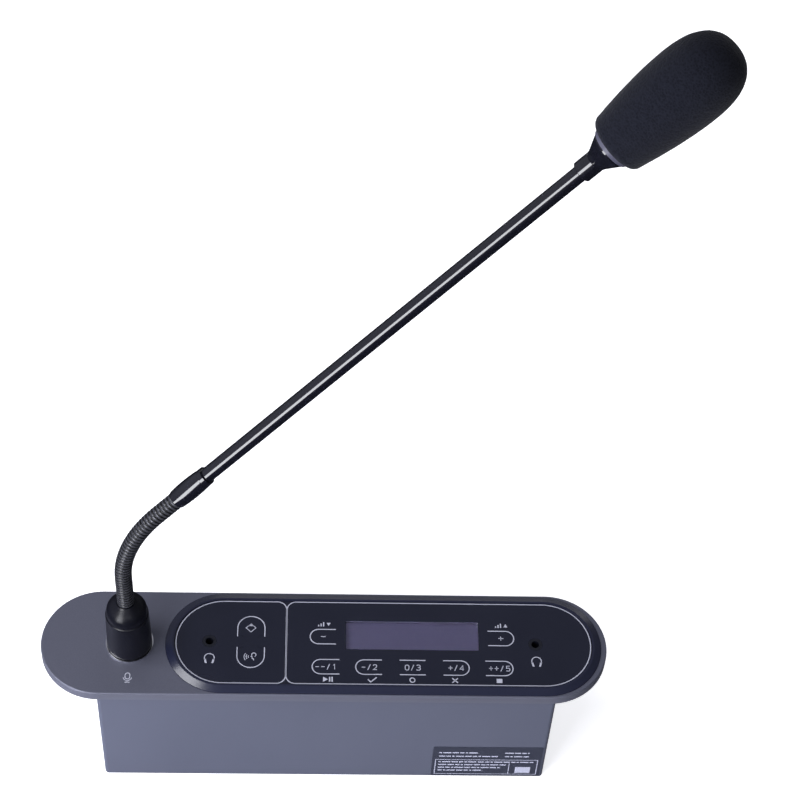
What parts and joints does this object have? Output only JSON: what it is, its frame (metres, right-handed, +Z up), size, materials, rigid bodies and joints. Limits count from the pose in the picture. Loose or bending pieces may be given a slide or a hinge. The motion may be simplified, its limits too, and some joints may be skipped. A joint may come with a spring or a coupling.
{
  "type": "gooseneck conference microphone unit",
  "caption": "Flush-mounted conference unit: a deck plate with keys, display and headphone jacks over a sheet case, and a plug-in gooseneck microphone with a foam windscreen.",
  "frame": {"origin": "on the underside of the case, below the middle of the deck plate's length and width", "axes": "+X along the panel from the microphone to the display end, +Y to the back, +Z up"},
  "size_m": [0.2673, 0.0903, 0.3937],
  "materials": {
    "deck_metal": "satin metallic",
    "case_metal": "satin powder coat",
    "screw_steel": "zinc plated",
    "label_film": "printed film",
    "black_moulding": "moulded",
    "pod_plastic": "gloss",
    "overlay_film": "gloss, printed",
    "key_plastic": "gloss, printed",
    "window_clear": "clear",
    "lcd": "unlit display",
    "board": "solder mask",
    "bright_plating": "polished",
    "pin_brass": "plated",
    "connector_black": "satin black",
    "neck_steel": "black oxide",
    "stem_gloss": "gloss black",
    "light_ring": "translucent",
    "cage_metal": "matte black",
    "capsule_metal": "satin",
    "foam": "open-cell foam"
  },
  "bodies": {
    "base": {"deck_plate": "deck_metal", "case_front": "case_metal", "case_back": "case_metal", "case_ends": "case_metal", "case_tabs": "case_metal", "bottom_cover": "case_metal", "cover_screws": "screw_steel", "deck_screws": "screw_steel", "info_label": "label_film", "bus_sockets": "black_moulding", "bus_board": "board", "panel_bezel": "pod_plastic", "panel_overlay": "overlay_film", "display_window": "window_clear", "lcd_glass": "lcd", "lcd_frame": "black_moulding", "main_board": "board", "tact_switches": "black_moulding", "board_screws": "screw_steel", "socket_shell": "bright_plating", "socket_insulator": "black_moulding", "socket_nut": "screw_steel", "headphone_jack_left": "black_moulding", "headphone_jack_right": "black_moulding"},
    "plug": {"plug_body": "connector_black", "plug_insulator": "black_moulding", "plug_pins": "pin_brass", "neck_collar": "connector_black", "neck_root": "neck_steel"},
    "lock_sleeve": {"lock_sleeve": "connector_black"},
    "stem": {"neck_tip": "neck_steel", "lower_sleeve": "stem_gloss", "stem_tube": "stem_gloss", "head_ferrule": "stem_gloss", "head_housing": "stem_gloss", "indicator_ring": "light_ring", "capsule_cage": "cage_metal", "mic_capsule": "capsule_metal", "windscreen": "foam"},
    "key_minus": {"key_minus": "key_plastic"},
    "key_plus": {"key_plus": "key_plastic"},
    "key_1": {"key_1": "key_plastic"},
    "key_2": {"key_2": "key_plastic"},
    "key_3": {"key_3": "key_plastic"},
    "key_4": {"key_4": "key_plastic"},
    "key_5": {"key_5": "key_plastic"},
    "key_mode": {"key_mode": "key_plastic"},
    "key_talk": {"key_talk": "key_plastic"},
    "link_01": {"neck_link_01": "neck_steel"},
    "link_02": {"neck_link_02": "neck_steel"},
    "link_03": {"neck_link_03": "neck_steel"},
    "link_04": {"neck_link_04": "neck_steel"},
    "link_05": {"neck_link_05": "neck_steel"},
    "link_06": {"neck_link_06": "neck_steel"},
    "link_07": {"neck_link_07": "neck_steel"},
    "link_08": {"neck_link_08": "neck_steel"},
    "link_09": {"neck_link_09": "neck_steel"},
    "link_10": {"neck_link_10": "neck_steel"},
    "link_11": {"neck_link_11": "neck_steel"}
  },
  "joints": [
    {"name": "mic_pull", "type": "slide", "parent": "base", "child": "plug", "axis": [0, 0, 1], "range_m": [0, 0.025]},
    {"name": "lock_turn", "type": "hinge", "parent": "plug", "child": "lock_sleeve", "pos_m": [-0.086, -0.0005, 0.0865], "axis": [0, 0, 1], "range_deg": [0, 90]},
    {"name": "press_minus", "type": "slide", "parent": "base", "child": "key_minus", "axis": [0, 0, -1], "range_m": [0, 0.0004], "stiffness_N_per_m": 3000},
    {"name": "press_plus", "type": "slide", "parent": "base", "child": "key_plus", "axis": [0, 0, -1], "range_m": [0, 0.0004], "stiffness_N_per_m": 3000},
    {"name": "press_1", "type": "slide", "parent": "base", "child": "key_1", "axis": [0, 0, -1], "range_m": [0, 0.0004], "stiffness_N_per_m": 3000},
    {"name": "press_2", "type": "slide", "parent": "base", "child": "key_2", "axis": [0, 0, -1], "range_m": [0, 0.0004], "stiffness_N_per_m": 3000},
    {"name": "press_3", "type": "slide", "parent": "base", "child": "key_3", "axis": [0, 0, -1], "range_m": [0, 0.0004], "stiffness_N_per_m": 3000},
    {"name": "press_4", "type": "slide", "parent": "base", "child": "key_4", "axis": [0, 0, -1], "range_m": [0, 0.0004], "stiffness_N_per_m": 3000},
    {"name": "press_5", "type": "slide", "parent": "base", "child": "key_5", "axis": [0, 0, -1], "range_m": [0, 0.0004], "stiffness_N_per_m": 3000},
    {"name": "press_mode", "type": "slide", "parent": "base", "child": "key_mode", "axis": [0, 0, -1], "range_m": [0, 0.0004], "stiffness_N_per_m": 3000},
    {"name": "press_talk", "type": "slide", "parent": "base", "child": "key_talk", "axis": [0, 0, -1], "range_m": [0, 0.0004], "stiffness_N_per_m": 3000},
    {"name": "neck_bend", "type": "hinge", "parent": "plug", "child": "link_01", "pos_m": [-0.086, -0.0005, 0.11314], "axis": [-0.225, 0.9744, 0], "range_deg": [-20.68, 5.99]},
    {"name": "neck_lean", "type": "hinge", "parent": "link_01", "child": "link_02", "pos_m": [-0.086, -0.0005, 0.11941], "axis": [0.9744, 0.225, 0], "range_deg": [-9, 9]},
    {"name": "neck_bend_2", "type": "hinge", "parent": "link_02", "child": "link_03", "pos_m": [-0.086, -0.0005, 0.12569], "axis": [-0.225, 0.9744, 0], "range_deg": [-20.68, 5.99]},
    {"name": "neck_lean_2", "type": "hinge", "parent": "link_03", "child": "link_04", "pos_m": [-0.08594, -0.00049, 0.13196], "axis": [0.9732, 0.2247, -0.0481], "range_deg": [-9, 9]},
    {"name": "neck_bend_3", "type": "hinge", "parent": "link_04", "child": "link_05", "pos_m": [-0.08531, -0.00034, 0.1382], "axis": [-0.225, 0.9744, 0], "range_deg": [-20.68, 5.99]},
    {"name": "neck_lean_3", "type": "hinge", "parent": "link_05", "child": "link_06", "pos_m": [-0.08402, -0.00004, 0.14434], "axis": [0.94, 0.217, -0.2632], "range_deg": [-9, 9]},
    {"name": "neck_bend_4", "type": "hinge", "parent": "link_06", "child": "link_07", "pos_m": [-0.0821, 0.0004, 0.15029], "axis": [-0.225, 0.9744, 0], "range_deg": [-20.68, 5.99]},
    {"name": "neck_lean_4", "type": "hinge", "parent": "link_07", "child": "link_08", "pos_m": [-0.07955, 0.00099, 0.15599], "axis": [0.8622, 0.199, -0.4659], "range_deg": [-9, 9]},
    {"name": "neck_bend_5", "type": "hinge", "parent": "link_08", "child": "link_09", "pos_m": [-0.07641, 0.00171, 0.16137], "axis": [-0.225, 0.9744, 0], "range_deg": [-20.68, 5.99]},
    {"name": "neck_lean_5", "type": "hinge", "parent": "link_09", "child": "link_10", "pos_m": [-0.07272, 0.00257, 0.16637], "axis": [0.7434, 0.1716, -0.6464], "range_deg": [-9, 9]},
    {"name": "neck_bend_6", "type": "hinge", "parent": "link_10", "child": "link_11", "pos_m": [-0.06856, 0.00353, 0.17097], "axis": [-0.225, 0.9744, 0], "range_deg": [-20.68, 5.99]},
    {"name": "neck_lean_6", "type": "hinge", "parent": "link_11", "child": "stem", "pos_m": [-0.06431, 0.00451, 0.17548], "axis": [0.7003, 0.1617, -0.6953], "range_deg": [-9, 9]}
  ],
  "couplings": [
    {"joint": "neck_bend_2", "follows": "neck_bend", "ratio": 1},
    {"joint": "neck_lean_2", "follows": "neck_lean", "ratio": 1},
    {"joint": "neck_bend_3", "follows": "neck_bend", "ratio": 1},
    {"joint": "neck_lean_3", "follows": "neck_lean", "ratio": 1},
    {"joint": "neck_bend_4", "follows": "neck_bend", "ratio": 1},
    {"joint": "neck_lean_4", "follows": "neck_lean", "ratio": 1},
    {"joint": "neck_bend_5", "follows": "neck_bend", "ratio": 1},
    {"joint": "neck_lean_5", "follows": "neck_lean", "ratio": 1},
    {"joint": "neck_bend_6", "follows": "neck_bend", "ratio": 1},
    {"joint": "neck_lean_6", "follows": "neck_lean", "ratio": 1}
  ]
}
